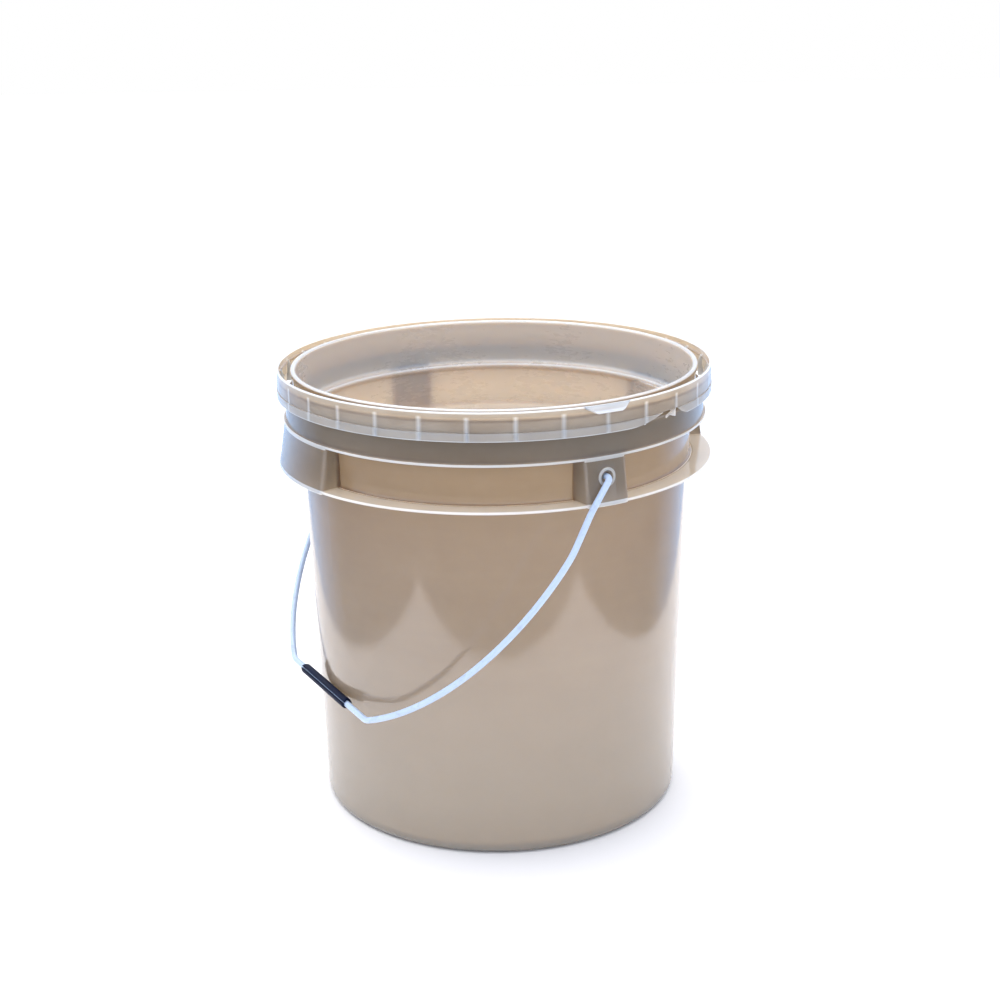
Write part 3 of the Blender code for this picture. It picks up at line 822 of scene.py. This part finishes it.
def grip_plastic():
    """Near-black extruded sleeve with lengthwise lines and rubbed, greyer patches."""
    material, nodes, shader = new_material("grip_black")
    rub = nodes.noise(stretched(nodes, (60, 130, 130)), 1.0, 5, 0.6)
    colour = nodes.mix(nodes.ramp(rub, 0.45, 0.75), GRIP_BLACK, GRIP_RUBBED)
    nodes.set(shader, "Base Color", colour)
    nodes.set(shader, "Roughness", nodes.ramp(rub, 0.35, 0.7, 0.42, 0.6))
    lines = nodes.noise(stretched(nodes, (25, 1500, 1500)), 1.0, 2, 0.5)
    bump = nodes.add("ShaderNodeBump", Height=lines, Strength=0.3, Distance=0.0003)
    nodes.set(shader, "Normal", bump.outputs["Normal"])
    shader.inputs["Specular IOR Level"].default_value = 0.15
    shader.inputs["IOR"].default_value = 1.35
    return material


def zinc_steel():
    """Zinc-plated wire with drawn lines and dull blotches."""
    material, nodes, shader = new_material("zinc_wire")
    blotches = nodes.noise(stretched(nodes, (1, 1, 1)), 320, 4, 0.6)
    colour = nodes.mix(nodes.ramp(blotches, 0.4, 0.7), ZINC, ZINC_DULL)
    nodes.set(shader, "Base Color", colour)
    nodes.set(shader, "Roughness", nodes.ramp(blotches, 0.35, 0.7, 0.28, 0.5))
    shader.inputs["Metallic"].default_value = 1.0
    lines = nodes.noise(stretched(nodes, (2200, 120, 120)), 1.0, 1, 0.5)
    bump = nodes.add("ShaderNodeBump", Height=lines, Strength=0.15, Distance=0.0002)
    nodes.set(shader, "Normal", bump.outputs["Normal"])
    return material


def finish_piece(obj, material, body, replaced):
    obj.data.materials.clear()
    obj.data.materials.append(material)
    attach(obj, body)
    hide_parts(*replaced)


def studio_point(right, back, height):
    """A point given from the camera's side: metres to its right, away from it, and up."""
    away = Vector((-math.cos(CAMERA_AZIMUTH), -math.sin(CAMERA_AZIMUTH), 0))
    side = Vector((-math.sin(CAMERA_AZIMUTH), math.cos(CAMERA_AZIMUTH), 0))
    return right * side + back * away + Vector((0, 0, height))


def build_camera():
    away = studio_point(0, 1, 0)
    side = studio_point(1, 0, 0)
    level = math.cos(CAMERA_TILT)
    forward = side * math.sin(CAMERA_PAN) * level + away * math.cos(CAMERA_PAN) * level
    forward.z = -math.sin(CAMERA_TILT)
    right = forward.cross(Vector((0, 0, 1))).normalized()
    up = right.cross(forward)
    rolled = right * math.cos(CAMERA_ROLL) + up * math.sin(CAMERA_ROLL)
    upward = up * math.cos(CAMERA_ROLL) - right * math.sin(CAMERA_ROLL)
    data = bpy.data.cameras.new("camera")
    data.lens = CAMERA_LENS
    data.sensor_width = 36
    data.clip_start = 0.05
    data.clip_end = 50
    camera = bpy.data.objects.new("camera", data)
    bpy.context.scene.collection.objects.link(camera)
    turn = Matrix((rolled, upward, -forward)).transposed().to_4x4()
    camera.matrix_world = Matrix.Translation(studio_point(0, -CAMERA_DISTANCE, CAMERA_HEIGHT)) @ turn
    bpy.context.scene.camera = camera


def stage_sheet(name, edges, material):
    """A level sheet between its left, right, front and back edges, at a height."""
    left, right, front, back, height = edges
    corners = [(left, front), (right, front), (right, back), (left, back)]
    points = [studio_point(*corner, height) / MM for corner in corners]
    sheet = new_object(name, points, [(0, 1, 2, 3)])
    if sheet.data.polygons[0].normal.z < 0:
        sheet.data.flip_normals()
    sheet.data.materials.append(material)
    return sheet


def sky_light(name, place, target, strength, softness, colour):
    """A distant light with a wide disc, which lights the whole table evenly."""
    data = bpy.data.lights.new(name, "SUN")
    data.energy = strength
    data.angle = softness
    data.color = colour
    light = bpy.data.objects.new(name, data)
    bpy.context.scene.collection.objects.link(light)
    light.rotation_mode = "QUATERNION"
    light.rotation_quaternion = (target - place).to_track_quat("-Z", "Y")


def build_studio():
    """The table that the bucket shows in its gloss, a wider floor round it, and one soft light."""
    material, nodes, shader = new_material("pale_floor")
    where = stretched(nodes, (1, 1, 1))
    colour = nodes.mix(nodes.noise(where, 3, 3), FLOOR_TINT, FLOOR_CLOUD)
    nodes.set(shader, "Base Color", colour)
    shader.inputs["Roughness"].default_value = 0.9
    shader.inputs["Specular IOR Level"].default_value = 0.1
    left, right, front, back = TABLE
    table = stage_sheet("table", (left, right, front, back, 0), material)
    table.visible_shadow = False
    floor = stage_sheet("floor", (-8, 8, -8, 8, -0.0006), material)
    floor.visible_glossy = False
    middle = Vector((0, 0, 0.17))
    sky_light("overhead", studio_point(-0.3, 0.6, 2.0), middle, 2.9, math.radians(75), (1.0, 1.0, 1.0))


def build_world():
    """White to the camera. To the bucket: white walls and ceiling, a bluish backdrop and a dim floor."""
    world = bpy.data.worlds.new("studio")
    world.use_nodes = True
    bpy.context.scene.world = world
    tree = world.node_tree
    tree.nodes.clear()
    nodes = Nodes(tree)
    way = nodes.add("ShaderNodeTexCoord").outputs["Generated"]
    away = studio_point(0, 1, 0)
    dot = nodes.add("ShaderNodeVectorMath", {"operation": "DOT_PRODUCT"})
    tree.links.new(way, dot.inputs[0])
    dot.inputs[1].default_value = away
    behind = nodes.ramp(dot.outputs["Value"], 0.3, 0.8)
    above = nodes.ramp(nodes.add("ShaderNodeSeparateXYZ", Vector=way).outputs["Z"], -0.2, -0.05)
    colour = nodes.mix(behind, ROOM, BACKDROP)
    colour = nodes.mix(above, colour, WALLS)
    room = nodes.add("ShaderNodeBackground", Color=colour, Strength=1.0)
    plain = nodes.add("ShaderNodeBackground", Color=(1, 1, 1, 1), Strength=1.0)
    seen = nodes.add("ShaderNodeLightPath").outputs["Is Camera Ray"]
    both = nodes.add("ShaderNodeMixShader")
    tree.links.new(seen, both.inputs[0])
    tree.links.new(room.outputs[0], both.inputs[1])
    tree.links.new(plain.outputs[0], both.inputs[2])
    out = nodes.add("ShaderNodeOutputWorld")
    tree.links.new(both.outputs[0], out.inputs["Surface"])


def main():
    build_camera()
    tan = moulded_plastic("tan_plastic", TAN_BODY, TAN_CLOUD, DEEP_SCATTER, 0.07, pail_accents)
    # A paler copy of the tan plastic for the inside, as painted light.
    lining = moulded_plastic("lit_inner_plastic", LIT_INSIDE, LIT_INSIDE_CLOUD, SHORT_SCATTER, 0.24, lining_accents)
    pale = moulded_plastic("collar_plastic", COLLAR_TAN, COLLAR_CLOUD, DEEP_SCATTER, 0.10, collar_accents)
    bucket_nodes = ["bucket_floor", "foot_ring", "bucket_wall", "recess_wall", "neck_rim", "neck_skirt"]
    bucket_nodes += ["lower_flange", "bail_ear_right", "bail_ear_left"]
    bucket_nodes += ["lifting_lug_rear", "lifting_lug_front"]
    bucket = build_bucket()
    finish_piece(bucket, tan, "bucket", bucket_nodes)
    line_inside(bucket, lining)
    finish_piece(build_collar(), pale, "bucket", ["tear_collar"])
    finish_piece(build_strip(), pale, "bucket", ["tear_strip"])
    # The tab's paler tan and rim are painted light.
    tongue = moulded_plastic("lit_tab_plastic", LIT_TAB_TAN, PALE_HIGHLIGHT_AND_CLOUD, DEEP_SCATTER, 0.12, tab_accents)
    finish_piece(build_tab(), tongue, "bucket", ["pull_tab"])
    finish_piece(build_wire(), zinc_steel(), "bail", ["bail_wire"])
    finish_piece(build_coating(), coating_plastic(), "bail", ["bail_coating"])
    finish_piece(build_grip(), grip_plastic(), "grip", ["grip_sleeve"])
    build_studio()
    build_world()
    bpy.context.scene.view_settings.view_transform = "Standard"


main()
